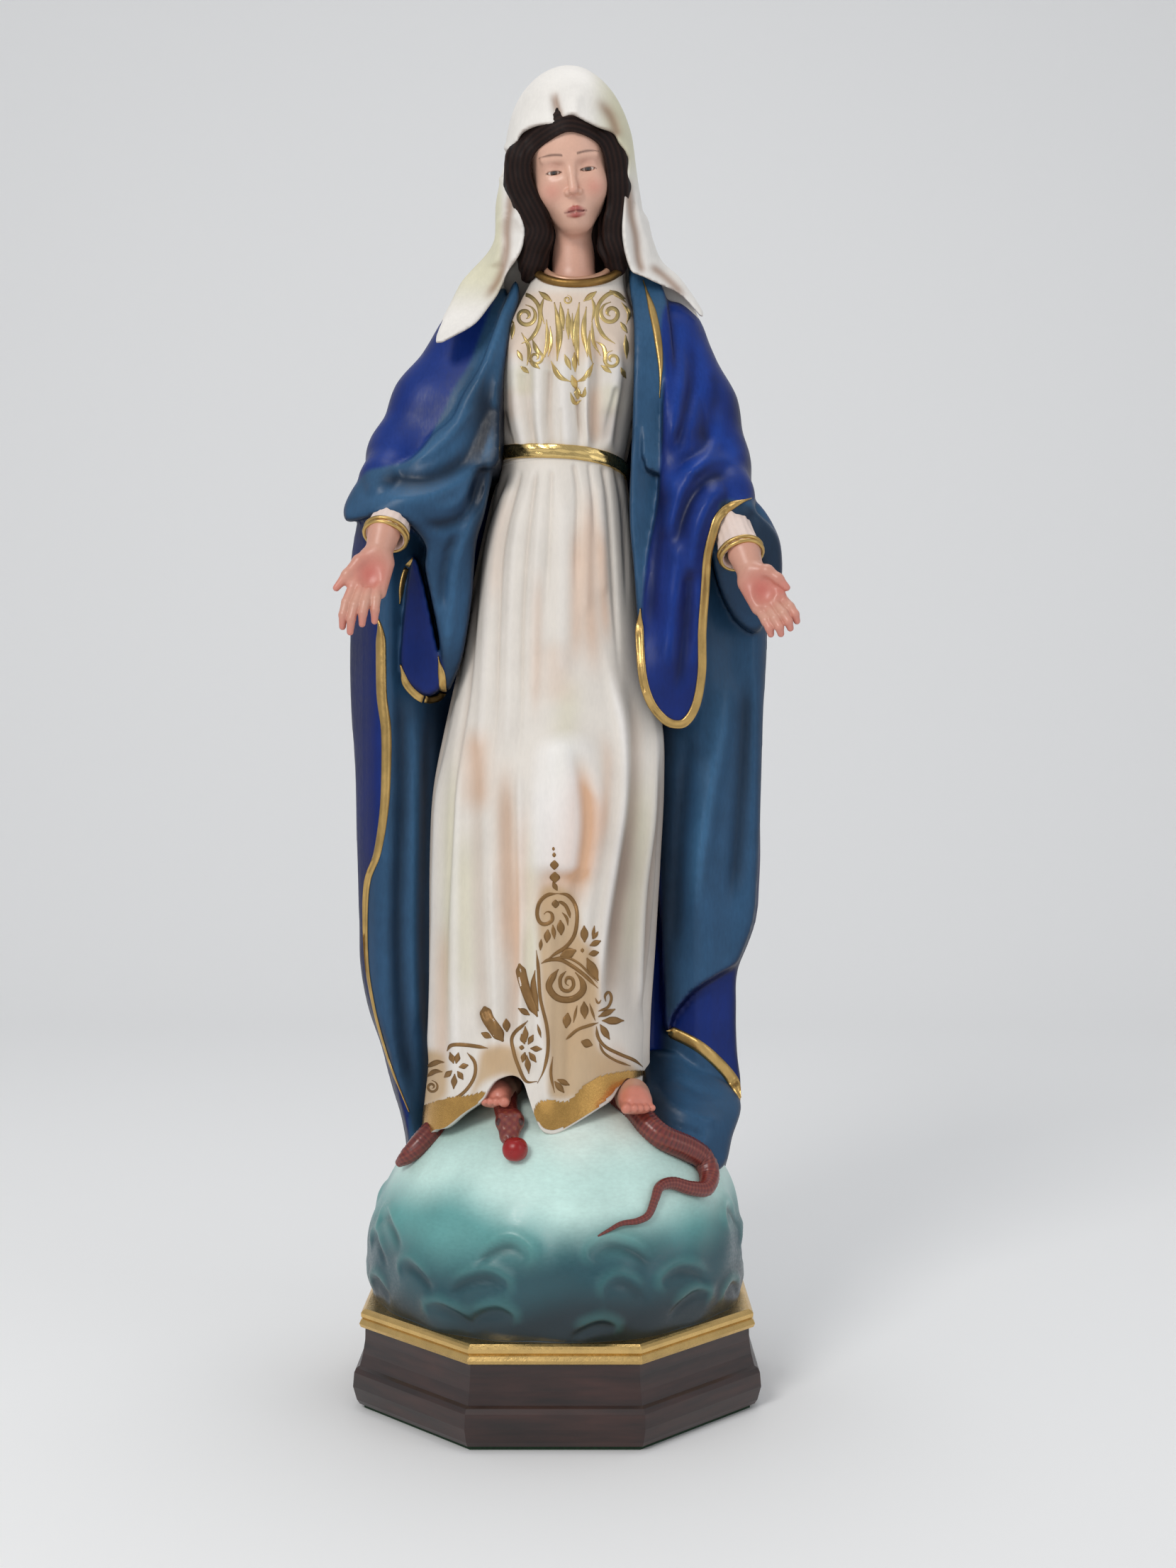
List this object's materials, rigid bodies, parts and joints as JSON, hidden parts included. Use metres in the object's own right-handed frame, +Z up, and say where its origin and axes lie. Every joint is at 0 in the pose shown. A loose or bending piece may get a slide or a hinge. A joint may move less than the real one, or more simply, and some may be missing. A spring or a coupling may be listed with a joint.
{
  "type": "madonna statue",
  "caption": "Standing veiled Madonna with open hands, treading on a serpent that lies on a clouded globe above an octagonal plinth.",
  "frame": {"origin": "middle of the felt under the plinth", "axes": "+Z up along the figure, -Y out of its face, +X to the figure's left hand"},
  "size_m": [0.1969, 0.1796, 0.6],
  "materials": {
    "felt_pad": "matte felt",
    "plinth_foot": "dark brown satin lacquer",
    "gilt_moulding": "gilt, satin metallic",
    "base_board": "bare plywood",
    "corner_blocks": "bare pine",
    "fastener_steel": "zinc plated",
    "armature_steel": "plain steel",
    "globe": "painted plaster, pale mint to dark teal",
    "serpent": "painted plaster, satin",
    "apple": "painted plaster, gloss",
    "gown": "painted plaster, ivory with airbrushed folds and gilt scrolls",
    "gilding": "gilt, satin metallic",
    "mantle": "painted plaster, navy outside and steel blue lining with gilt edges",
    "sleeves": "painted plaster, navy outside and steel blue lining with gilt edges",
    "veil": "painted plaster, white with olive shading",
    "skin": "painted plaster, matte flesh",
    "hair": "painted plaster, near-black brown",
    "eyes": "polished glass",
    "cuffs": "painted plaster, white"
  },
  "bodies": {
    "root": {"felt_pad": "felt_pad", "plinth_foot": "plinth_foot", "gilt_moulding": "gilt_moulding", "base_board": "base_board", "corner_blocks": "corner_blocks", "board_screws": "fastener_steel", "armature_rod": "armature_steel", "lower_washer": "fastener_steel", "lower_nut": "fastener_steel", "upper_washer": "fastener_steel", "upper_nut": "fastener_steel", "right_arm_wire": "armature_steel", "left_arm_wire": "armature_steel", "globe": "globe", "right_foot": "skin", "left_foot": "skin", "serpent_head": "serpent", "serpent_tail": "serpent", "serpent_coil": "serpent", "apple": "apple", "gown_skirt": "gown", "gown_bodice": "gown", "belt": "gilding", "collar": "gilding", "mantle": "mantle", "right_sleeve": "sleeves", "left_sleeve": "sleeves", "veil": "veil", "head": "skin", "hair": "hair", "right_eye": "eyes", "left_eye": "eyes", "right_cuff_band": "gilding", "left_cuff_band": "gilding", "right_hand": "skin", "left_hand": "skin", "right_cuff": "cuffs", "left_cuff": "cuffs"}
  },
  "joints": []
}
